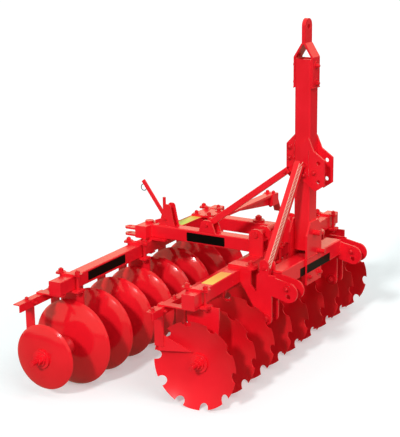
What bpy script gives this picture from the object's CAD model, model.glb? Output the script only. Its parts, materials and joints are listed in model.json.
"""Finishes, fastenings, studio and camera of the mounted disc harrow."""

from __future__ import annotations

import json
import logging
import math
from dataclasses import dataclass, field
from enum import Enum

import bmesh
import bpy
from mathutils import Matrix, Vector

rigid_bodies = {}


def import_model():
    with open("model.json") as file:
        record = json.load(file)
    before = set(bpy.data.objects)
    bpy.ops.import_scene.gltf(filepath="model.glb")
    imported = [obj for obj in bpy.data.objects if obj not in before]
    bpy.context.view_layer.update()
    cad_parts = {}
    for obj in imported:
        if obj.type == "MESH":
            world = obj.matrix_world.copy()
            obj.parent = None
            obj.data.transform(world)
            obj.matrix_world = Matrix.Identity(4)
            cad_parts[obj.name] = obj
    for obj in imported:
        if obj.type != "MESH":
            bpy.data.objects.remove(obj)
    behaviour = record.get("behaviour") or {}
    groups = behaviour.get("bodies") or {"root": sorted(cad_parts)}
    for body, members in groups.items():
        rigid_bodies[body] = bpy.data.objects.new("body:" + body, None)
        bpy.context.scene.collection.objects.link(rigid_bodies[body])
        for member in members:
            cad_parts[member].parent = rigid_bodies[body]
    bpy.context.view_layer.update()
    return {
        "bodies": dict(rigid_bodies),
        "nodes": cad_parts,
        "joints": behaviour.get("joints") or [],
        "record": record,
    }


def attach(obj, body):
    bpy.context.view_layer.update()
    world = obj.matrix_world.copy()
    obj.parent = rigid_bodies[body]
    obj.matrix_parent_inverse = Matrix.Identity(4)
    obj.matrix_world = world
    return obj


log = logging.getLogger("disc_harrow")

MM = 0.001
MAST_TO_ROW = Vector((0.184657, -0.550408, 0.0))
UP = (0.0, 0.0, 1.0)
DOWN = (0.0, 0.0, -1.0)
FRONT = (0.0, -1.0, 0.0)
BACK = (0.0, 1.0, 0.0)
NEAR = (-1.0, 0.0, 0.0)
FAR = (1.0, 0.0, 0.0)

Pair = tuple[float, float]
Triple = tuple[float, float, float]


def from_mast(x: float, y: float, z: float) -> Vector:
    """Turns mm from the mast to the far side, the rear and up into metres of the row frame."""
    return Vector((x, y, z)) * MM + MAST_TO_ROW


def linear(hex_colour: str) -> tuple[float, float, float, float]:
    """Turns a written sRGB colour into the linear colour that a shader takes.

    Args:
        hex_colour: Six hexadecimal digits.

    Returns:
        Linear red, green, blue and an alpha of one.
    """
    parts = [int(hex_colour[at : at + 2], 16) / 255 for at in (0, 2, 4)]
    made = [c / 12.92 if c <= 0.04045 else ((c + 0.055) / 1.055) ** 2.4 for c in parts]
    return (made[0], made[1], made[2], 1.0)


def towards(around: float, up: float) -> Vector:
    """Finds the way that looks around from the far side and up, both in radians."""
    level = math.cos(up)
    return Vector((math.cos(around) * level, math.sin(around) * level, math.sin(up)))


class Body(Enum):
    """The moving bodies of the harrow that a scene piece can ride on."""

    FRAME = "frame"
    REAR_GANG = "rear_gang"


class Slot(Enum):
    """The record's material slot that every scene piece goes under."""

    RED = "red_paint"


@dataclass
class NodeBook:
    """Adds nodes to one tree and feeds their inputs."""

    tree: bpy.types.NodeTree

    def feed(self, node: bpy.types.Node, feeds: dict) -> None:
        """Feeds a node's inputs.

        Args:
            node: The node.
            feeds: Values or sockets for its inputs, by name or number.
        """
        for key, value in feeds.items():
            if isinstance(value, bpy.types.NodeSocket):
                self.tree.links.new(value, node.inputs[key])
            else:
                node.inputs[key].default_value = value

    def add(self, kind: str, feeds: dict | None = None, **settings: object) -> bpy.types.Node:
        """Adds one node.

        Args:
            kind: Blender's name of the node type.
            feeds: Values or sockets for its inputs, by name or number.
            settings: Properties of the node itself.

        Returns:
            The new node.
        """
        node = self.tree.nodes.new(kind)
        for name, value in settings.items():
            setattr(node, name, value)
        self.feed(node, feeds or {})
        return node


def blank_material(name: str) -> tuple[bpy.types.Material, NodeBook, bpy.types.Node]:
    """Starts a material.

    Args:
        name: The material's name.

    Returns:
        The material, the book of its nodes, and its shader.
    """
    material = bpy.data.materials.new(name)
    material.use_nodes = True
    return material, NodeBook(material.node_tree), material.node_tree.nodes["Principled BSDF"]


@dataclass(frozen=True)
class Enamel:
    """Sprayed enamel over steel: two close colours, uneven gloss and light orange peel."""

    name: str
    colour: str
    deep: str
    rough_low: float = 0.2
    rough_high: float = 0.3
    shine: float = 0.3
    cloud_mm: float = 200.0
    gloss_mm: float = 1000 / 38  # 38 duller patches to the metre
    peel_mm: float = 4.0
    peel_height_mm: float = 0.004
    cast_mm: float = 0.0
    cast_height_mm: float = 0.0
    edge_mm: float = 1.5

    def under(self, book: NodeBook, place: bpy.types.NodeSocket) -> bpy.types.NodeSocket:
        """Softens the edges that the enamel flows over, and returns their normal."""
        return book.add("ShaderNodeBevel", {"Radius": self.edge_mm * MM}, samples=4).outputs[0]

    def build(self) -> bpy.types.Material:
        """Makes the material.

        Returns:
            The enamel, ready to assign.
        """
        material, book, shader = blank_material(self.name)
        place = book.add("ShaderNodeTexCoord").outputs["Object"]
        cloud = book.add(
            "ShaderNodeTexNoise",
            {"Vector": place, "Scale": 1 / (self.cloud_mm * MM), "Detail": 3.0},
        )
        tone = book.add(
            "ShaderNodeMapRange", {"Value": cloud.outputs["Fac"], "From Min": 0.35, "From Max": 0.7}
        )
        paint = book.add(
            "ShaderNodeMix",
            {"Factor": tone.outputs[0], 6: linear(self.colour), 7: linear(self.deep)},
            data_type="RGBA",
        )
        gloss = book.add(
            "ShaderNodeTexNoise",
            {"Vector": place, "Scale": 1 / (self.gloss_mm * MM), "Detail": 4.0},
        )
        rough = book.add(
            "ShaderNodeMapRange",
            {"Value": gloss.outputs["Fac"], "To Min": self.rough_low, "To Max": self.rough_high},
        )
        normal = self.under(book, place)
        # The peel's waves are drawn a little coarser than a spray gun leaves them, so that they show.
        layers = [(self.peel_mm, self.peel_height_mm, 1.0)]
        if self.cast_mm:
            layers.append((self.cast_mm, self.cast_height_mm, 4.0))
        for size, height, detail in layers:
            grain = book.add(
                "ShaderNodeTexNoise", {"Vector": place, "Scale": 1 / (size * MM), "Detail": detail}
            )
            bump = book.add(
                "ShaderNodeBump",
                {"Height": grain.outputs["Fac"], "Distance": height * MM, "Normal": normal},
            )
            normal = bump.outputs[0]
        look = {"Base Color": paint.outputs[2], "Roughness": rough.outputs[0], "Normal": normal}
        book.feed(shader, look | {"Specular IOR Level": self.shine})
        return material


@dataclass(frozen=True)
class DiscEnamel(Enamel):
    """Enamel on a pressed disc: rings from turning show through the paint."""

    rough_low: float = 0.1
    rough_high: float = 0.17
    shine: float = 0.32
    cloud_mm: float = 250.0
    gloss_mm: float = 1000 / 30  # 30 duller patches to the metre
    hub: Triple = (0.0, 0.0, 0.0)
    angle: float = 0.0
    ring_mm: float = 9.0
    ring_height_mm: float = 0.03
    ring_strength: float = 0.5

    def under(self, book: NodeBook, place: bpy.types.NodeSocket) -> bpy.types.NodeSocket:
        """Turns rings about the gang's axle, coarser than real ones so that they show.

        Args:
            book: The material's nodes.
            place: The place on the piece, in metres.

        Returns:
            The normal of the steel under the paint.
        """
        axle = book.add(
            "ShaderNodeMapping",
            {
                "Vector": place,
                "Location": from_mast(*self.hub),
                "Rotation": (0.0, 0.0, math.radians(self.angle)),
            },
            vector_type="TEXTURE",
        )
        across = book.add("ShaderNodeSeparateXYZ", {0: axle.outputs[0]})
        flat = book.add("ShaderNodeCombineXYZ", {"Y": across.outputs["Y"], "Z": across.outputs["Z"]})
        radius = book.add("ShaderNodeVectorMath", {0: flat.outputs[0]}, operation="LENGTH")
        turns = book.add(
            "ShaderNodeMath",
            {0: radius.outputs["Value"], 1: math.tau / (self.ring_mm * MM)},
            operation="MULTIPLY",
        )
        wave = book.add("ShaderNodeMath", {0: turns.outputs[0]}, operation="SINE")
        depth = {"Distance": self.ring_height_mm * MM, "Strength": self.ring_strength}
        return book.add("ShaderNodeBump", {"Height": wave.outputs[0]} | depth).outputs[0]


@dataclass(frozen=True)
class Film:
    """Printed vinyl film, with a faint grain and two colours that run into each other."""

    name: str
    colour: str
    second: str
    along: Triple
    start: float = 0.0
    end: float = 1.0
    rough_low: float = 0.3
    rough_high: float = 0.43
    shine: float = 0.3
    grain_mm: float = 10 / 9  # coarser than vinyl's own grain, so that it shows
    grain_height_mm: float = 0.02

    def build(self) -> bpy.types.Material:
        """Makes the material.

        Returns:
            The film, ready to assign.
        """
        material, book, shader = blank_material(self.name)
        place = book.add("ShaderNodeTexCoord").outputs["Object"]
        reach = book.add(
            "ShaderNodeVectorMath", {0: place, 1: Vector(self.along)}, operation="DOT_PRODUCT"
        )
        ramp = book.add(
            "ShaderNodeMapRange",
            {"Value": reach.outputs["Value"], "From Min": self.start, "From Max": self.end},
            interpolation_type="SMOOTHSTEP",
        )
        ink = book.add(
            "ShaderNodeMix",
            {"Factor": ramp.outputs[0], 6: linear(self.colour), 7: linear(self.second)},
            data_type="RGBA",
        )
        grain = book.add(
            "ShaderNodeTexNoise",
            {"Vector": place, "Scale": 1 / (self.grain_mm * MM), "Detail": 2.0},
        ).outputs["Fac"]
        rough = book.add(
            "ShaderNodeMapRange",
            {"Value": grain, "To Min": self.rough_low, "To Max": self.rough_high},
        )
        bump = book.add("ShaderNodeBump", {"Height": grain, "Distance": self.grain_height_mm * MM})
        look = {"Base Color": ink.outputs[2], "Roughness": rough.outputs[0]}
        book.feed(shader, look | {"Normal": bump.outputs[0], "Specular IOR Level": self.shine})
        return material


class Finish(Enum):
    """Every finish on the harrow."""

    # Gloss enamel sprayed on plate and tube gives an even red with soft, slightly wavy reflections.
    RED = Enamel("red_gloss_enamel", "EC1A29", "E21422")
    # Enamel over a weld keeps the bead's ripples, which break the gloss into small glints.
    WELD = Enamel("red_enamel_over_weld", "E41825", "D2121E", peel_mm=2.0, peel_height_mm=0.05)
    # Enamel on sand-cast iron lets the skin show, so the gloss is duller and speckled. The grains
    # are drawn at 4 mm, coarser than sand, so that they show.
    CAST = Enamel(
        "red_enamel_on_cast_iron", "E61826", "D81420", 0.28, 0.42, cast_mm=4.0, cast_height_mm=0.3
    )
    # Enamel on turned steel pins gives a slightly deeper red with crisp edges.
    PIN = Enamel("red_enamel_on_steel_pin", "E21825", "D61420", 0.22, 0.34, edge_mm=0.8)
    # Thin enamel on forged bolts gives a shade darker red, which sets the heads off their plates.
    BOLT = Enamel("red_enamel_on_bolt", "DE1724", "CA111D", 0.24, 0.36, edge_mm=0.6)
    # Black phosphate on drawn spring wire gives a matt dark line beside the red lever.
    WIRE = Enamel("black_phosphate_on_wire", "3A3534", "2C2827", 0.35, 0.5, edge_mm=0.3)
    # Enamel on the pressed and notched discs is satin, with broad and soft highlights.
    FRONT_DISC = DiscEnamel(
        "red_enamel_on_notched_disc", "E91927", "DE1521", 0.3, 0.4, 0.2,
        hub=(-949.0, 159.0, 255.0), angle=3.0,
    )
    # Enamel on the pressed and plain discs is glossy, with a clear highlight near each rim.
    REAR_DISC = DiscEnamel(
        "red_enamel_on_plain_disc", "E61926", "D81420", hub=(-1098.0, 963.0, 255.0), angle=2.5
    )
    # Black printed vinyl is flat and almost without gloss, so it reads as one dark bar.
    BLACK_FILM = Film("bare_black_label_film", "060806", "0C0E0A", FAR, shine=0.06)
    # Printed vinyl on the front beam runs from yellow to orange along the beam.
    YELLOW_FILM = Film("yellow_sticker_film", "F0CE50", "EE9A48", FAR, -0.66, -0.30)
    # Printed vinyl on the link tube runs from green to yellow along the tube.
    GREEN_FILM = Film("green_yellow_sticker_film", "B4D83C", "EDBE5C", FAR, 0.08, 0.36)
    # Cream vinyl gives the leg thin pale lines that stand clear of the red.
    PALE = Film("pale_leg_strip_film", "FFE4CC", "FFDCC2", UP)

    @property
    def material(self) -> bpy.types.Material:
        """The finish as a material, built when it is first asked for."""
        made = bpy.data.materials.get(self.value.name)
        return made or self.value.build()


@dataclass
class Gang:
    """Where one gang's beam line runs, for places along it."""

    hub: Pair
    angle: float
    beam_offset: float
    bearings: tuple[float, ...]
    bar_offset: float
    bar_bolts: tuple[float, ...]
    hubs: tuple[float, ...]
    way: int
    body: Body

    def point(self, along: float, offset: float, z: float) -> Vector:
        """Turns a place on the gang into the row frame.

        Args:
            along: Distance along the axle from the first full disc's hub.
            offset: Distance behind the axle line.
            z: Height over the ground.

        Returns:
            The point in the row frame.
        """
        x, y, _ = self.facing(along, offset)
        return from_mast(self.hub[0] + x, self.hub[1] + y, z)

    def facing(self, along: float, offset: float) -> Triple:
        """Turns a level direction on the gang into the row frame.

        Args:
            along: Its part along the axle.
            offset: Its part towards the rear of the axle.

        Returns:
            The direction in the row frame.
        """
        turn = math.radians(self.angle)
        x = along * math.cos(turn) - offset * math.sin(turn)
        y = along * math.sin(turn) + offset * math.cos(turn)
        return (x, y, 0.0)


def points_with(name: str, points: tuple[Vector, ...], kept: dict) -> bpy.types.Mesh:
    """Makes a mesh of points that each keep a number or a vector under each of some names.

    Args:
        name: The mesh's name.
        points: The points, in the row frame.
        kept: The numbers or vectors by name, in the order of the points.

    Returns:
        The mesh.
    """
    mesh = bpy.data.meshes.new(name)
    mesh.from_pydata(points, [], [])
    for label, values in kept.items():
        single = isinstance(values[0], float)
        rows = mesh.attributes.new(label, "FLOAT" if single else "FLOAT_VECTOR", "POINT").data
        for row, value in zip(rows, values):
            setattr(row, "value" if single else "vector", value)
    return mesh


def in_scene(name: str, data: bpy.types.ID) -> bpy.types.Object:
    """Puts a mesh, lamp or camera in the scene.

    Args:
        name: The object's name.
        data: What it shows.

    Returns:
        The new object.
    """
    made = bpy.data.objects.new(name, data)
    bpy.context.scene.collection.objects.link(made)
    return made


def stood(name: str, mesh: bpy.types.Mesh, body: Body) -> bpy.types.Object:
    """Puts a mesh in the scene at the origin and makes it ride on its body.

    Args:
        name: The piece's name.
        mesh: The finished mesh, in the row frame.
        body: The body that the piece rides on.

    Returns:
        The new object.
    """
    piece = in_scene(name, mesh)
    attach(piece, body.value)
    log.info("piece %s on %s with %d faces", name, body.value, len(mesh.polygons))
    return piece


def settled(made: bmesh.types.BMesh, name: str, finish: Finish, body: Body) -> bpy.types.Object:
    """Turns hand-laid faces into a piece with one finish.

    Args:
        made: The faces, which are freed.
        name: The piece's name.
        finish: Its finish.
        body: The body that it rides on.

    Returns:
        The finished piece.
    """
    mesh = bpy.data.meshes.new(name)
    made.to_mesh(mesh)
    made.free()
    mesh.materials.append(finish.material)
    return stood(name, mesh, body)


@dataclass
class Growth:
    """A Geometry Nodes tree with named inputs, which grows one mesh from points or edges."""

    name: str
    values: dict[str, float | int | bpy.types.Material]
    tree: bpy.types.NodeTree = field(init=False)
    book: NodeBook = field(init=False)
    given: bpy.types.NodeOutputs = field(init=False)

    def __post_init__(self) -> None:
        """Opens the tree with one socket for each named value."""
        kinds = {float: "NodeSocketFloat", int: "NodeSocketInt"}
        self.tree = bpy.data.node_groups.new(self.name + "_nodes", "GeometryNodeTree")
        face = self.tree.interface
        face.new_socket(name="Geometry", in_out="INPUT", socket_type="NodeSocketGeometry")
        for label, value in self.values.items():
            kind = kinds.get(type(value), "NodeSocketMaterial")
            face.new_socket(name=label, in_out="INPUT", socket_type=kind)
        face.new_socket(name="Geometry", in_out="OUTPUT", socket_type="NodeSocketGeometry")
        self.book = NodeBook(self.tree)
        self.given = self.book.add("NodeGroupInput").outputs

    def aim(self, attribute: str) -> bpy.types.NodeSocket:
        """Turns a stored direction of each point into a rotation.

        Args:
            attribute: The name of the stored direction.

        Returns:
            The rotation that stands an upright shape along it.
        """
        way = self.book.add(
            "GeometryNodeInputNamedAttribute", {"Name": attribute}, data_type="FLOAT_VECTOR"
        )
        return self.book.add(
            "FunctionNodeAlignRotationToVector", {"Vector": way.outputs["Attribute"]}, axis="Z"
        ).outputs[0]

    def steps(self) -> bpy.types.NodeSocket:
        """Turns the edges into points at the pitch that the tree is given.

        Returns:
            The points, as a curve's steps.
        """
        seam = self.book.add("GeometryNodeMeshToCurve", {"Mesh": self.given["Geometry"]})
        feeds = {"Curve": seam.outputs[0], "Length": self.given["Pitch"]}
        return self.book.add("GeometryNodeResampleCurve", feeds, mode="LENGTH").outputs[0]

    def run(
        self,
        mesh: bpy.types.Mesh,
        body: Body,
        placing: dict[str, object],
        smooth: bool | None = None,
    ) -> bpy.types.Object:
        """Ends the tree, runs it on a mesh and keeps the result as a plain mesh.

        Args:
            mesh: The points or edges that the tree starts from.
            body: The body that the piece rides on.
            placing: What the node that puts the shape on each point takes.
            smooth: Whether faces are smooth, or None to leave them as they are.

        Returns:
            The finished piece.
        """
        placed = self.book.add("GeometryNodeInstanceOnPoints", placing)
        shape = self.book.add("GeometryNodeRealizeInstances", {0: placed.outputs[0]})
        if smooth is not None:
            feeds = {"Geometry": shape.outputs[0], "Shade Smooth": smooth}
            shape = self.book.add("GeometryNodeSetShadeSmooth", feeds)
        feeds = {"Geometry": shape.outputs[0], "Material": self.given["Finish"]}
        dressed = self.book.add("GeometryNodeSetMaterial", feeds)
        self.book.add("NodeGroupOutput", {0: dressed.outputs[0]})
        source = in_scene(self.name + "_source", mesh)
        modifier = source.modifiers.new("Grow", "NODES")
        modifier.node_group = self.tree
        for item in self.tree.interface.items_tree:
            if item.in_out == "INPUT" and item.name in self.values:
                modifier[item.identifier] = self.values[item.name]
        graph = bpy.context.evaluated_depsgraph_get()
        plain = bpy.data.meshes.new_from_object(source.evaluated_get(graph), depsgraph=graph)
        plain.name = self.name
        source.modifiers.remove(modifier)
        bpy.data.objects.remove(source)
        return stood(self.name, plain, body)


@dataclass
class FastenerField:
    """Nuts or bolt heads with washers, sized for flats of one and scaled at each point."""

    name: str
    body: Body
    washer: float = 1.05
    washer_depth: float = 0.12
    corner: float = 0.5774
    head: float = 0.62
    crown: Pair = (0.4, 0.5)
    crown_depth: float = 0.06
    stud: float = 0.2
    stud_radii: Pair = (0.27, 0.3)
    seed: int = 3
    rows: list[tuple[Vector, Triple, float]] = field(default_factory=list)

    def put(self, at: Vector, facing: Triple, flats: float) -> None:
        """Adds one fastener on a face, with its width across the flats in millimetres."""
        self.rows.append((at, facing, flats))

    def shape(self, growth: Growth) -> bpy.types.NodeSocket:
        """Joins the washer, the hexagon, its chamfered crown and the stud.

        Args:
            growth: The tree that they are made in.

        Returns:
            The whole fastener, upright on its face.
        """
        book, given = growth.book, growth.given
        head, base = given["Head height"], self.washer_depth
        half = book.add("ShaderNodeMath", {0: head, 1: 0.5}, operation="MULTIPLY")
        middle = book.add("ShaderNodeMath", {0: half.outputs[0], 1: base}, operation="ADD")
        top = book.add("ShaderNodeMath", {0: head, 1: base}, operation="ADD").outputs[0]
        drum, cone = "GeometryNodeMeshCylinder", "GeometryNodeMeshCone"
        solids = (
            (drum, 24, {"Radius": given["Washer radius"], "Depth": base}, base / 2),
            (drum, 6, {"Radius": self.corner, "Depth": head}, middle.outputs[0]),
            (cone, 24, self.taper(self.crown) | {"Depth": self.crown_depth}, top),
            (cone, 20, self.taper(self.stud_radii) | {"Depth": given["Stud height"]}, top),
        )
        joined = book.add("GeometryNodeJoinGeometry")
        for kind, sides, sizes, height in solids:
            solid = book.add(kind, {"Vertices": sides} | sizes)
            lift = book.add("ShaderNodeCombineXYZ", {"Z": height})
            feeds = {"Geometry": solid.outputs["Mesh"], "Translation": lift.outputs[0]}
            moved = book.add("GeometryNodeTransform", feeds)
            growth.tree.links.new(moved.outputs[0], joined.inputs[0])
        return joined.outputs[0]

    def taper(self, radii: Pair) -> dict[str, float]:
        """Names a cone's upper and lower radius for its node."""
        return {"Radius Top": radii[0], "Radius Bottom": radii[1]}

    def build(self) -> bpy.types.Object:
        """Makes one plain mesh of every fastener in the field.

        Returns:
            The finished piece, riding on its body.
        """
        points, facings, flats = zip(*self.rows)
        kept = {"facing": facings, "flats": [size * MM for size in flats]}
        mesh = points_with(self.name, points, kept)
        values = {
            "Washer radius": self.washer,
            "Head height": self.head,
            "Stud height": self.stud,
            "Seed": self.seed,
            "Finish": Finish.BOLT.material,
        }
        growth = Growth(self.name, values)
        book = growth.book
        spin = book.add(
            "FunctionNodeRandomValue",
            {"Min": 0.0, "Max": math.tau, "Seed": growth.given["Seed"]},
            data_type="FLOAT",
        )
        turn = book.add("FunctionNodeAxisAngleToRotation", {"Axis": UP, "Angle": spin.outputs["Value"]})
        turned = book.add(
            "FunctionNodeRotateRotation",
            {"Rotation": growth.aim("facing"), "Rotate By": turn.outputs[0]},
            rotation_space="LOCAL",
        )
        scale = book.add("GeometryNodeInputNamedAttribute", {"Name": "flats"}, data_type="FLOAT")
        placing = {
            "Points": growth.given["Geometry"],
            "Instance": self.shape(growth),
            "Rotation": turned.outputs[0],
            "Scale": scale.outputs["Attribute"],
        }
        return growth.run(mesh, self.body, placing)


@dataclass
class RodField:
    """Round bolt shanks between two points."""

    name: str
    body: Body
    sides: int = 20
    rows: list[tuple[Vector, Triple, float, float]] = field(default_factory=list)

    def put(self, at: Vector, facing: Triple, radius: float, length: float) -> None:
        """Adds one shank from its start, with its radius and length in millimetres."""
        self.rows.append((at, facing, radius, length))

    def build(self) -> bpy.types.Object:
        """Makes one plain mesh of every shank in the field.

        Returns:
            The finished piece, riding on its body.
        """
        points, facings, radii, lengths = zip(*self.rows)
        sizes = [(wide * MM, wide * MM, long * MM) for wide, long in zip(radii, lengths)]
        mesh = points_with(self.name, points, {"facing": facings, "size": sizes})
        growth = Growth(self.name, {"Sides": self.sides, "Finish": Finish.BOLT.material})
        book = growth.book
        bar = book.add(
            "GeometryNodeMeshCylinder",
            {"Vertices": growth.given["Sides"], "Radius": 1.0, "Depth": 1.0},
        )
        raised = book.add(
            "GeometryNodeTransform", {"Geometry": bar.outputs["Mesh"], "Translation": (0, 0, 0.5)}
        )
        scale = book.add("GeometryNodeInputNamedAttribute", {"Name": "size"}, data_type="FLOAT_VECTOR")
        placing = {
            "Points": growth.given["Geometry"],
            "Instance": raised.outputs[0],
            "Rotation": growth.aim("facing"),
            "Scale": scale.outputs["Attribute"],
        }
        return growth.run(mesh, self.body, placing, smooth=False)


@dataclass
class WeldField:
    """Fillet weld beads along the seams between two plates."""

    name: str
    body: Body
    bead: float = 4.0
    pitch: float = 4.5
    squash: Triple = (1.0, 1.0, 0.85)
    spread: Pair = (0.85, 1.12)
    seed: int = 11
    runs: list[tuple[Vector, Vector]] = field(default_factory=list)

    def put(self, start: Vector, end: Vector) -> None:
        """Adds one straight seam between two points of the row frame."""
        self.runs.append((start, end))

    def build(self) -> bpy.types.Object:
        """Makes one plain mesh of every bead in the field.

        Returns:
            The finished piece, riding on its body.
        """
        mesh = bpy.data.meshes.new(self.name)
        points = [end for run in self.runs for end in run]
        mesh.from_pydata(points, [(2 * at, 2 * at + 1) for at in range(len(self.runs))], [])
        values = {
            "Bead radius": self.bead * MM,
            "Pitch": self.pitch * MM,
            "Seed": self.seed,
            "Finish": Finish.WELD.material,
        }
        growth = Growth(self.name, values)
        book, given = growth.book, growth.given
        tangent = book.add("GeometryNodeInputTangent")
        aim = book.add("FunctionNodeAlignRotationToVector", {"Vector": tangent.outputs[0]}, axis="Z")
        drop = book.add("GeometryNodeMeshIcoSphere", {"Radius": given["Bead radius"], "Subdivisions": 1})
        flat = book.add(
            "GeometryNodeTransform", {"Geometry": drop.outputs["Mesh"], "Scale": self.squash}
        )
        size = book.add(
            "FunctionNodeRandomValue",
            {"Min": self.spread[0], "Max": self.spread[1], "Seed": given["Seed"]},
            data_type="FLOAT",
        )
        placing = {
            "Points": growth.steps(),
            "Instance": flat.outputs[0],
            "Rotation": aim.outputs[0],
            "Scale": size.outputs["Value"],
        }
        return growth.run(mesh, self.body, placing, smooth=True)


@dataclass
class Patch:
    """A thin film with rounded corners, stuck on a flat face."""

    name: str
    body: Body
    middle: Vector
    along: Triple
    across: Triple
    length: float
    width: float
    finish: Finish
    corner: float = 6.0
    corner_steps: int = 5
    thick: float = 0.4
    lift: float = 0.15

    def build(self) -> bpy.types.Object:
        """Makes the film.

        Returns:
            The finished piece, riding on its body.
        """
        u = Vector(self.along).normalized()
        v = Vector(self.across).normalized()
        out = u.cross(v)
        ring: list[Vector] = []
        for quarter, (side, end) in enumerate(((1, 1), (-1, 1), (-1, -1), (1, -1))):
            for step in range(self.corner_steps + 1):
                turn = math.radians(90 * (quarter + step / self.corner_steps))
                x = side * (self.length / 2 - self.corner) + self.corner * math.cos(turn)
                y = end * (self.width / 2 - self.corner) + self.corner * math.sin(turn)
                ring.append(self.middle + (u * x + v * y + out * self.lift) * MM)
        made = bmesh.new()
        close_slab(made, ring, out * self.thick * MM)
        return settled(made, self.name, self.finish, self.body)


def close_slab(made: bmesh.types.BMesh, ring: list[Vector], rise: Vector) -> None:
    """Adds a closed slab over a flat ring of points.

    Args:
        made: The faces so far.
        ring: The slab's lower outline, turning left about its rise.
        rise: The way from the lower to the upper face.
    """
    low = [made.verts.new(point) for point in ring]
    high = [made.verts.new(point + rise) for point in ring]
    made.faces.new(high)
    made.faces.new(list(reversed(low)))
    for at, start in enumerate(low):
        after = (at + 1) % len(low)
        made.faces.new((start, low[after], high[after], high[at]))


@dataclass
class GangDress:
    """Fastenings of one gang: clamp bolts, bearing bolts and scraper bolts."""

    name: str
    gang: Gang
    clamp_top: float = 673.0
    clamp_low: float = 569.0
    clamp_shift: float = 56.0
    clamp_bolt: float = 57.0
    clamp_flats: float = 26.0
    rod_radius: float = 9.0
    bar_top: float = 573.0
    bar_bolt_shift: float = 2.0
    bar_flats: float = 19.0
    axle_height: float = 255.0
    bearing_face: float = 39.0
    bearing_bolt: float = 64.0
    bearing_flats: float = 17.0
    scraper_stand_off: float = 73.5
    web_front: float = 22.5
    web_drop: float = 24.0

    def clamp(self, nuts: FastenerField, rods: RodField, at: float) -> None:
        """Bolts one clamp on both sides of the beam.

        Args:
            nuts: The gang's field of nuts.
            rods: The gang's field of shanks.
            at: The clamp's place along the gang.
        """
        gang = self.gang
        for side in (-1, 1):
            offset = gang.beam_offset + side * self.clamp_bolt
            nuts.put(gang.point(at, offset, self.clamp_top), UP, self.clamp_flats)
            nuts.put(gang.point(at, offset, self.clamp_low), DOWN, self.clamp_flats)
            length = self.clamp_top - self.clamp_low
            rods.put(gang.point(at, offset, self.clamp_low), UP, self.rod_radius, length)

    def bearing(self, nuts: FastenerField, at: float) -> None:
        """Bolts one bearing housing to its hanger.

        Args:
            nuts: The gang's field of nuts.
            at: The bearing's place along the gang.
        """
        outward = self.gang.facing(-1, 0)
        for quarter in range(4):
            turn = math.radians(45 + 90 * quarter)
            offset = self.bearing_bolt * math.cos(turn)
            height = self.axle_height + self.bearing_bolt * math.sin(turn)
            place = self.gang.point(at - self.bearing_face, offset, height)
            nuts.put(place, outward, self.bearing_flats)

    def build(self) -> list[bpy.types.Object]:
        """Makes all fastenings of the gang.

        Returns:
            The finished pieces.
        """
        gang = self.gang
        nuts = FastenerField(self.name + "_gang_fasteners", gang.body)
        rods = RodField(self.name + "_clamp_rods", gang.body)
        for at in gang.bearings:
            self.clamp(nuts, rods, at - self.clamp_shift)
            self.bearing(nuts, at)
        for at in gang.bar_bolts:
            place = gang.point(at, gang.bar_offset + self.bar_bolt_shift, self.bar_top)
            nuts.put(place, UP, self.bar_flats)
        for hub in gang.hubs:
            along = hub + gang.way * self.scraper_stand_off
            height = self.bar_top - self.web_drop
            place = gang.point(along, gang.bar_offset - self.web_front, height)
            nuts.put(place, gang.facing(0, -1), self.bar_flats)
        return [nuts.build(), rods.build()]


@dataclass
class FrameFields:
    """The frame's nuts, shanks and seams, which every part of the frame adds to."""

    nuts: FastenerField
    rods: RodField
    welds: WeldField

    def seam(self, start: Triple, end: Triple) -> None:
        """Adds one seam between two points, in millimetres from the mast."""
        self.welds.put(from_mast(*start), from_mast(*end))

    def build(self) -> list[bpy.types.Object]:
        """Makes all fastenings and seams of the frame."""
        return [self.nuts.build(), self.rods.build(), self.welds.build()]


@dataclass
class HitchDress:
    """Fastenings and seams of the two hitch brackets."""

    half_span: float = 430.0
    outer: float = 476.0
    inner: float = 384.0
    plate: float = 12.0
    overlap: float = 1.0
    gap: Pair = (396.0, 464.0)
    bolts: tuple[tuple[float, float, float, float], ...] = (
        (-128.0, 590.0, 22.0, 8.0),
        (6.0, 388.0, 30.0, 11.5),
    )
    top_bolt: Triple = (130.0, 681.0, 26.0)
    top_seam: Triple = (-45.0, 58.0, 649.0)
    side_seams: Pair = (-50.0, 50.0)
    side_seam_ends: Pair = (560.0, 640.0)

    def dress(self, frame: FrameFields) -> None:
        """Adds both brackets' fastenings and seams.

        Args:
            frame: The frame's fastenings and seams.
        """
        for side, outward, inward in ((-1, NEAR, FAR), (1, FAR, NEAR)):
            for y, z, flats, radius in self.bolts:
                frame.nuts.put(from_mast(side * self.outer, y, z), outward, flats)
                frame.nuts.put(from_mast(side * self.inner, y, z), inward, flats)
                for plate in (self.inner, self.outer - self.plate):
                    start = from_mast(side * (plate - self.overlap), y, z)
                    frame.rods.put(start, outward, radius, self.plate + 2 * self.overlap)
            y, z, flats = self.top_bolt
            frame.nuts.put(from_mast(side * self.half_span, y, z), UP, flats)
            front, rear, height = self.top_seam
            for x in self.gap:
                frame.seam((side * x, front, height), (side * x, rear, height))
            low, high = self.side_seam_ends
            for y in self.side_seams:
                frame.seam((side * self.inner, y, low), (side * self.inner, y, high))


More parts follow.
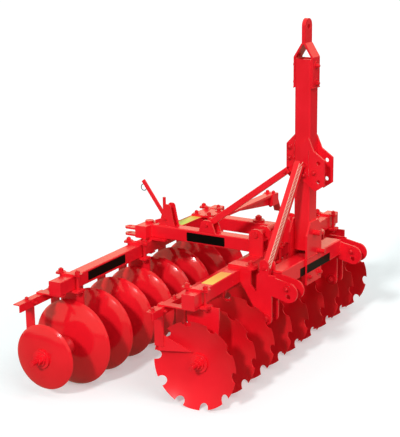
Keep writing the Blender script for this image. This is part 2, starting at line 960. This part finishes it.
@dataclass
class MastDress:
    """Fastenings and seams of the mast with its straps and plates, and the leg's strip."""

    half: float = 50.0
    plate: float = 12.0
    large_flats: float = 24.0
    small_flats: float = 19.0
    strap_bolts: Pair = (1686.0, 1786.0)
    foot_bolts: Pair = (-66.0, 66.0)
    foot_bolt_height: float = 538.0
    link_plate_bolts: tuple[Pair, ...] = ((-86.0, 1172.0), (-20.0, 1206.0), (-20.0, 1150.0))
    rear_bracket_bolts: Pair = (1245.0, 1309.0)
    rear_bracket_back: float = 79.0
    link_plate_seam: Pair = (1150.0, 1300.0)
    rear_bracket_seam: Pair = (1115.0, 1380.0)
    foot_side_seam: Pair = (700.0, 840.0)
    strap_seam: Pair = (44.0, 1660.0)
    foot_seam: Pair = (90.0, 655.0)
    leg_foot: Triple = (-430.0, 20.0, 690.0)
    leg_head: Triple = (-94.8, -8.0, 1228.0)
    leg_half: float = 17.0
    strip_lift: float = 0.1
    strip_ends: Pair = (-10.0, 622.0)
    strip_middle: float = -16.0
    line_width: float = 4.2
    line_thick: float = 1.0
    line_at: Pair = (-20.0, 20.0)
    rib_pitch: float = 23.5
    rib_length: float = 62.0
    rib_width: float = 3.6
    rib_thick: float = 0.9
    rib_rise: float = 0.5
    rib_slant: float = 50.0

    def fasten(self, nuts: FastenerField) -> None:
        """Adds the mast's bolts.

        Args:
            nuts: The frame's field of nuts and heads.
        """
        face = self.half + self.plate
        for z in self.strap_bolts:
            nuts.put(from_mast(0, -face, z), FRONT, self.large_flats)
            nuts.put(from_mast(0, face, z), BACK, self.large_flats)
        for x in self.foot_bolts:
            nuts.put(from_mast(x, -face, self.foot_bolt_height), FRONT, self.large_flats)
        for y, z in self.link_plate_bolts:
            nuts.put(from_mast(-face, y, z), NEAR, self.small_flats)
            nuts.put(from_mast(face, y, z), FAR, self.small_flats)
        for z in self.rear_bracket_bolts:
            for x, way in ((-self.half, NEAR), (self.half, FAR)):
                nuts.put(from_mast(x, self.rear_bracket_back, z), way, self.small_flats)

    def weld(self, frame: FrameFields) -> None:
        """Adds the mast's seams.

        Args:
            frame: The frame's fastenings and seams.
        """
        face, half = self.half + self.plate, self.half
        for x in (-face, face):
            frame.seam((x, -half, self.link_plate_seam[0]), (x, -half, self.link_plate_seam[1]))
        for x in (-half, half):
            frame.seam((x, half, self.rear_bracket_seam[0]), (x, half, self.rear_bracket_seam[1]))
            y = self.plate / 2 - face
            frame.seam((x, y, self.foot_side_seam[0]), (x, y, self.foot_side_seam[1]))
        reach, height = self.strap_seam
        for y in (-face, face):
            frame.seam((-reach, y, height), (reach, y, height))
        reach, height = self.foot_seam
        frame.seam((-reach, -face, height), (reach, -face, height))

    def axes(self) -> tuple[Vector, Vector, Vector]:
        """Finds the leg's own directions.

        Returns:
            The way along the leg, across its front face, and out of that face.
        """
        along = (Vector(self.leg_head) - Vector(self.leg_foot)).normalized()
        across = (Vector(FAR) - along * Vector(FAR).dot(along)).normalized()
        out = across.cross(along)
        return along, across, -out if out.y > 0 else out

    def on_leg(self, at: float, aside: float) -> Vector:
        """Finds a place on the leg's front face.

        Args:
            at: Distance along the leg from its foot.
            aside: Distance across the face.

        Returns:
            The point in the row frame.
        """
        along, across, out = self.axes()
        foot = from_mast(*self.leg_foot) + out * (self.leg_half + self.strip_lift) * MM
        return foot + (along * at + across * aside) * MM

    def lines(self) -> bpy.types.Object:
        """Makes the two raised lines along the strip on the leg's front face.

        Returns:
            The finished piece, riding on the frame.
        """
        along, _, out = self.axes()
        made = bmesh.new()
        side = along.cross(out).normalized() * self.line_width / 2 * MM
        for offset in self.line_at:
            start, end = (self.on_leg(at, self.strip_middle + offset) for at in self.strip_ends)
            ring = [start - side, start + side, end + side, end - side]
            close_slab(made, ring, out * self.line_thick * MM)
        bmesh.ops.recalc_face_normals(made, faces=made.faces)
        return settled(made, "leg_strip_lines", Finish.PALE, Body.FRAME)

    def ribs(self) -> bpy.types.Object:
        """Sets the slanted ribs between the strip's lines.

        Returns:
            The finished piece, riding on the frame.
        """
        mesh = bpy.data.meshes.new("leg_strip_ribs")
        ends = [self.on_leg(at, self.strip_middle) for at in self.strip_ends]
        mesh.from_pydata(ends, [(0, 1)], [])
        values = {
            "Pitch": self.rib_pitch * MM,
            "Rib length": self.rib_length * MM,
            "Slant": math.radians(self.rib_slant),
            "Finish": Finish.PALE.material,
        }
        growth = Growth("leg_strip_ribs", values)
        book, given = growth.book, growth.given
        section = {"Y": self.rib_width * MM, "Z": self.rib_thick * MM}
        size = book.add("ShaderNodeCombineXYZ", {"X": given["Rib length"]} | section)
        rib = book.add("GeometryNodeMeshCube", {"Size": size.outputs[0]})
        slant = book.add("ShaderNodeCombineXYZ", {"Z": given["Slant"]})
        turned = book.add(
            "GeometryNodeTransform",
            {
                "Geometry": rib.outputs["Mesh"],
                "Rotation": slant.outputs[0],
                "Translation": (0, 0, self.rib_rise * MM),
            },
        )
        along, across, _ = self.axes()
        pose = Matrix((across, along, across.cross(along))).transposed().to_euler()
        placing = {"Points": growth.steps(), "Instance": turned.outputs[0], "Rotation": pose}
        return growth.run(mesh, Body.FRAME, placing)


@dataclass
class FrameDress:
    """Fastenings and seams of the two beams, the stub, the lugs and the latch."""

    near: float = -152.0
    far: float = 196.0
    half: float = 40.0
    top: float = 755.0
    low: float = 675.0
    far_bolt_back: float = 425.0
    far_bolt_flats: float = 36.0
    thick_washer: Pair = (38.0, 9.0)
    washer_overlap: float = 1.0
    far_plate_bolts: tuple[Pair, Pair] = ((135.0, 258.0), (752.0, 846.0))
    far_plate_top: float = 767.0
    far_plate_flats: float = 24.0
    arm_end: float = 924.0
    arm_bolts: tuple[tuple[float, float, Triple], ...] = (
        (712.0, 746.0, UP), (758.0, 746.0, UP), (735.0, 668.0, DOWN),
    )
    arm_flats: float = 22.0
    front_lug_face: float = 271.0
    seam_stand_off: float = 0.5
    seam_lift: float = 2.0
    tube_faces: Pair = (790.0, 870.0)
    stay_lug_ends: Pair = (513.0, 629.0)
    lug_thick: float = 12.0
    stub_face: float = 975.0
    tow_ear_lows: Pair = (681.0, 723.0)
    tow_ear_root: float = 1055.0
    tow_ear_reach: float = 100.0
    stand_plates: Pair = (-182.0, -122.0)
    stand_ends: Pair = (812.0, 926.0)
    ring_middle: Triple = (-152.0, 1052.0, 977.0)
    ring_radius: float = 20.0
    ring_wire: float = 2.6
    ring_turns: int = 40
    ring_sides: int = 10

    def fasten(self, nuts: FastenerField, rods: RodField) -> None:
        """Adds the frame's bolts and the thick washer under the far beam's bolt.

        Args:
            nuts: The frame's field of nuts and heads.
            rods: The frame's field of shanks and thick washers.
        """
        radius, thick = self.thick_washer
        base = self.top - self.washer_overlap
        rods.put(from_mast(self.far, self.far_bolt_back, base), UP, radius, thick)
        nuts.put(from_mast(self.far, self.far_bolt_back, base + thick), UP, self.far_bolt_flats)
        across, back = self.far_plate_bolts
        for y in back:
            for x in across:
                nuts.put(from_mast(x, y, self.far_plate_top), UP, self.far_plate_flats)
        for y, z, way in self.arm_bolts:
            nuts.put(from_mast(self.arm_end, y, z), way, self.arm_flats)

    def weld(self, frame: FrameFields) -> None:
        """Adds the frame's seams.

        Args:
            frame: The frame's fastenings and seams.
        """
        near, far, half, low, top = self.near, self.far, self.half, self.low, self.top
        y = self.front_lug_face
        for beam in (near, far):
            for side in (-1, 1):
                x = beam + side * (half + self.seam_stand_off)
                frame.seam((x, y, low + self.seam_lift), (x, y, top))
        left, right = near - half, near + half
        for y in self.tube_faces:
            for z in (low, top):
                frame.seam((right, y, z), (far - half, y, z))
        for x in (right, far - half):
            for y in self.tube_faces:
                frame.seam((x, y, low), (x, y, top))
        thick, (start, end) = self.lug_thick, self.stay_lug_ends
        for y in (start, end):
            for x in (left, right - thick):
                frame.seam((x, y, top), (x + thick, y, top))
        frame.seam((right - thick, start, top), (right - thick, end, top))
        y = self.stub_face
        frame.seam((left, y, low), (left, y, top))
        frame.seam((left, y, top), (right, y, top))
        y, outer = self.tow_ear_root, near - self.tow_ear_reach
        for ear in self.tow_ear_lows:
            for z in (ear, ear + thick):
                frame.seam((outer, y, z), (left, y, z))
        start, end = self.stand_ends
        for x in self.stand_plates:
            frame.seam((x, start, top), (x, end, top))

    def ring(self) -> bpy.types.Object:
        """Makes the wire ring that hangs in the latch lever's upper end.

        Returns:
            The finished piece, riding on the frame.
        """
        made = bmesh.new()
        middle = from_mast(*self.ring_middle)
        radius, wire = self.ring_radius * MM, self.ring_wire * MM
        loops = []
        for turn in range(self.ring_turns):
            angle = math.tau * turn / self.ring_turns
            away = Vector((0, math.cos(angle), math.sin(angle)))
            loop = []
            for side in range(self.ring_sides):
                around = math.tau * side / self.ring_sides
                offset = away * (radius + wire * math.cos(around))
                loop.append(made.verts.new(middle + offset + Vector(FAR) * wire * math.sin(around)))
            loops.append(loop)
        for this, after in zip(loops, loops[1:] + loops[:1]):
            for side in range(self.ring_sides):
                follow = (side + 1) % self.ring_sides
                face = made.faces.new((this[side], this[follow], after[follow], after[side]))
                face.smooth = True
        bmesh.ops.recalc_face_normals(made, faces=made.faces)
        return settled(made, "latch_ring", Finish.WIRE, Body.FRAME)


@dataclass
class Labels:
    """Bare labels and stickers: the black films and the yellow and green ones."""

    rear: Gang
    front: Gang
    cross_beam: tuple[tuple[str, Triple, float], ...] = (
        ("near", (-127.0, -50.0, 584.0), 64.0),
        ("middle", (0.0, -62.0, 592.0), 190.0),
        ("far", (166.0, -50.0, 584.0), 144.0),
    )
    cross_beam_width: float = 52.0
    cross_beam_corner: float = 1.0

    def build(self) -> list[bpy.types.Object]:
        """Makes every label and sticker.

        Returns:
            The finished pieces.
        """
        rear, front = self.rear, self.front
        ahead, back = front.facing(1, 0), front.facing(0, 1)
        black, yellow, green = Finish.BLACK_FILM, Finish.YELLOW_FILM, Finish.GREEN_FILM
        frame, gang = Body.FRAME, Body.REAR_GANG
        beam, behind = from_mast(-192, 580, 712), rear.point(379, -40, 624)
        patches = [
            Patch("near_beam_label", frame, beam, FRONT, UP, 270, 56, black),
            Patch("rear_beam_label", gang, behind, rear.facing(1, 0), UP, 396, 54, black),
        ]
        width, corner = self.cross_beam_width, self.cross_beam_corner
        for word, place, length in self.cross_beam:
            name, middle = "cross_beam_label_" + word, from_mast(*place)
            patches.append(Patch(name, frame, middle, FAR, UP, length, width, black, corner))
        top, tube = front.point(262, 30, 661), from_mast(0, 830, 755)
        patches.append(Patch("front_beam_sticker", frame, top, ahead, back, 236, 70, yellow))
        patches.append(Patch("link_tube_sticker", frame, tube, FAR, BACK, 216, 74, green))
        return [patch.build() for patch in patches]


@dataclass
class Coats:
    """The finish of every CAD node, by the end of its name."""

    cast: tuple[str, ...] = ("_spools", "_bearing_housings")
    pins: tuple[str, ...] = ("_axle", "_pins", "_swing_pin", "_lug_shaft")

    def finish_of(self, node: str) -> Finish:
        """Names the finish of one node.

        Args:
            node: The node's name.

        Returns:
            Its finish.
        """
        if node.endswith(self.cast):
            return Finish.CAST
        if node.endswith(self.pins):
            return Finish.PIN
        discs = {"front_discs": Finish.FRONT_DISC, "rear_discs": Finish.REAR_DISC}
        return discs.get(node, Finish.RED)

    def paint(self, nodes: dict[str, bpy.types.Object]) -> None:
        """Paints every node that comes from the CAD model.

        Args:
            nodes: The CAD objects by name.
        """
        for node, piece in nodes.items():
            coat = self.finish_of(node)
            if not piece.material_slots:
                piece.data.materials.append(coat.material)
            for place in piece.material_slots:
                place.material = coat.material
            log.info("node %s painted with %s", node, coat.value.name)


@dataclass
class Lamp:
    """One far soft lamp: its degrees around from the far side, up, and across."""

    name: str
    around: float
    up: float
    spread: float
    power: float
    away: float = 6.0

    def build(self) -> None:
        """Sets the lamp, which lights the whole floor evenly."""
        data = bpy.data.lights.new(self.name, "SUN")
        data.angle = math.radians(self.spread)
        data.energy = self.power
        lamp = in_scene(self.name, data)
        away = towards(math.radians(self.around), math.radians(self.up))
        lamp.rotation_euler = (-away).to_track_quat("-Z", "Y").to_euler()
        lamp.location = away * self.away


@dataclass
class Studio:
    """Pale floor, soft lamps, bright surroundings and the photograph's camera."""

    eye: Triple = (-6237.2, -3143.2, 2724.8)
    yaw: float = 31.881
    pitch: float = 14.836
    roll: float = -0.786
    lens: float = 99.85
    sensor: float = 36.0
    sight: float = 200.0
    floor_half: float = 40.0
    floor_colour: str = "E6F0F0"
    floor_grey: str = "A8A8A8"
    floor_glow: float = 0.22
    sky: float = 0.42
    sheen: str = "FFE6C4"
    sky_sheen: float = 1.6
    table_sheen: Pair = (0.55, 0.1)
    table_reach: Pair = (3.3, 5.5)

    def camera(self) -> None:
        """Stands the camera where the photograph was taken from."""
        yaw, pitch, roll = (math.radians(a) for a in (self.yaw, self.pitch, self.roll))
        ahead = towards(yaw, -pitch)
        right = Vector((math.sin(yaw), -math.cos(yaw), 0.0))
        above = right.cross(ahead)
        side = right * math.cos(roll) + above * math.sin(roll)
        top = above * math.cos(roll) - right * math.sin(roll)
        data = bpy.data.cameras.new("photo_camera")
        data.lens = self.lens
        data.sensor_width = self.sensor
        data.clip_end = self.sight
        camera = in_scene("photo_camera", data)
        turn = Matrix((side, top, -ahead)).transposed().to_4x4()
        camera.matrix_world = Matrix.Translation(from_mast(*self.eye)) @ turn
        bpy.context.scene.camera = camera

    def floor_paint(self) -> bpy.types.Material:
        """Makes matt studio paint, which gives the eye a white ground with a soft grey shadow.

        Returns:
            The paint. It shows pale to the camera, warm to gloss and grey to other light.
        """
        material, book, shader = blank_material("pale_floor_paint")
        book.feed(
            shader,
            {"Base Color": linear(self.floor_colour), "Roughness": 0.9, "Specular IOR Level": 0.0},
        )
        rays = book.add("ShaderNodeLightPath").outputs
        glow = book.add("ShaderNodeEmission", {"Color": (1, 1, 1, 1), "Strength": self.floor_glow})
        seen = book.add("ShaderNodeAddShader", {0: shader.outputs[0], 1: glow.outputs[0]})
        dull = book.add("ShaderNodeBsdfDiffuse", {"Color": linear(self.floor_grey)})
        place = book.add("ShaderNodeTexCoord").outputs["Object"]
        reach = book.add("ShaderNodeVectorMath", {0: place}, operation="LENGTH").outputs["Value"]
        (near, far), (high, low) = self.table_reach, self.table_sheen
        limits = {"From Min": near, "From Max": far, "To Min": high, "To Max": low}
        fade = book.add("ShaderNodeMapRange", {"Value": reach} | limits)
        table = book.add(
            "ShaderNodeEmission", {"Color": linear(self.sheen), "Strength": fade.outputs[0]}
        )
        unseen = book.add(
            "ShaderNodeMixShader",
            {0: rays["Is Glossy Ray"], 1: dull.outputs[0], 2: table.outputs[0]},
        )
        choice = book.add(
            "ShaderNodeMixShader",
            {0: rays["Is Camera Ray"], 1: unseen.outputs[0], 2: seen.outputs[0]},
        )
        book.feed(material.node_tree.nodes["Material Output"], {"Surface": choice.outputs[0]})
        return material

    def floor(self) -> None:
        """Lays the pale floor, which keeps the harrow's soft shadow."""
        made = bmesh.new()
        bmesh.ops.create_grid(made, x_segments=8, y_segments=8, size=self.floor_half)
        mesh = bpy.data.meshes.new("studio_floor")
        made.to_mesh(mesh)
        made.free()
        floor = in_scene("studio_floor", mesh)
        mesh.materials.append(self.floor_paint())

    def surroundings(self) -> None:
        """Sets soft light from all round, white to the camera and warm to gloss."""
        world = bpy.data.worlds.new("studio_world")
        bpy.context.scene.world = world
        world.use_nodes = True
        book = NodeBook(world.node_tree)
        rays = book.add("ShaderNodeLightPath").outputs
        white = (1, 1, 1, 1)
        levels = ((white, self.sky), (linear(self.sheen), self.sky_sheen), (white, 1.0))
        soft, warm, plain = (
            book.add("ShaderNodeBackground", {"Color": colour, "Strength": strength}).outputs[0]
            for colour, strength in levels
        )
        lit = book.add("ShaderNodeMixShader", {0: rays["Is Glossy Ray"], 1: soft, 2: warm})
        choice = book.add("ShaderNodeMixShader", {0: rays["Is Camera Ray"], 1: lit.outputs[0], 2: plain})
        book.feed(world.node_tree.nodes["World Output"], {"Surface": choice.outputs[0]})

    def build(self) -> None:
        """Sets up the whole studio."""
        self.floor()
        self.surroundings()
        self.camera()
        Lamp("key_lamp", around=-172.0, up=32.0, spread=6.0, power=1.8).build()
        Lamp("fill_lamp", around=-105.0, up=42.0, spread=50.0, power=1.4).build()
        bpy.context.scene.view_settings.view_transform = "Standard"


@dataclass
class Harrow:
    """The two gangs and the frame, dressed one after the other."""

    disc_pitch: float = 240.0
    discs: int = 9

    def gangs(self) -> tuple[Gang, Gang]:
        """Places both gangs.

        Returns:
            The front and the rear gang.
        """
        hubs = [self.disc_pitch * at for at in range(self.discs)]
        front = Gang(
            hub=(-949.0, 159.0),
            angle=3.0,
            beam_offset=30.0,
            bearings=(78.0, 1038.0, 1868.0),
            bar_offset=200.0,
            bar_bolts=(-155.0, 83.0),
            hubs=tuple(hubs),
            way=-1,
            body=Body.FRAME,
        )
        rear = Gang(
            hub=(-1098.0, 963.0),
            angle=2.5,
            beam_offset=0.0,
            bearings=(108.0, 828.0, 1788.0),
            bar_offset=110.0,
            bar_bolts=(-205.0, 15.0),
            hubs=tuple(hub - self.disc_pitch for hub in hubs),
            way=1,
            body=Body.REAR_GANG,
        )
        return front, rear

    def build(self) -> None:
        """Adds every fastening, seam, strip, ring and label."""
        front, rear = self.gangs()
        GangDress("front", front).build()
        GangDress("rear", rear).build()
        frame = FrameFields(
            FastenerField("frame_fasteners", Body.FRAME),
            RodField("frame_bolt_shanks", Body.FRAME),
            WeldField("frame_weld_seams", Body.FRAME),
        )
        HitchDress().dress(frame)
        mast = MastDress()
        mast.fasten(frame.nuts)
        mast.weld(frame)
        beams = FrameDress()
        beams.fasten(frame.nuts, frame.rods)
        beams.weld(frame)
        frame.build()
        mast.lines()
        mast.ribs()
        beams.ring()
        Labels(rear, front).build()


def main() -> None:
    """Builds the dressed harrow and its studio."""
    logging.basicConfig(level=logging.INFO, format="%(message)s")
    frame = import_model()
    Studio().build()
    Coats().paint(frame["nodes"])
    Harrow().build()


if __name__ == "__main__":
    main()
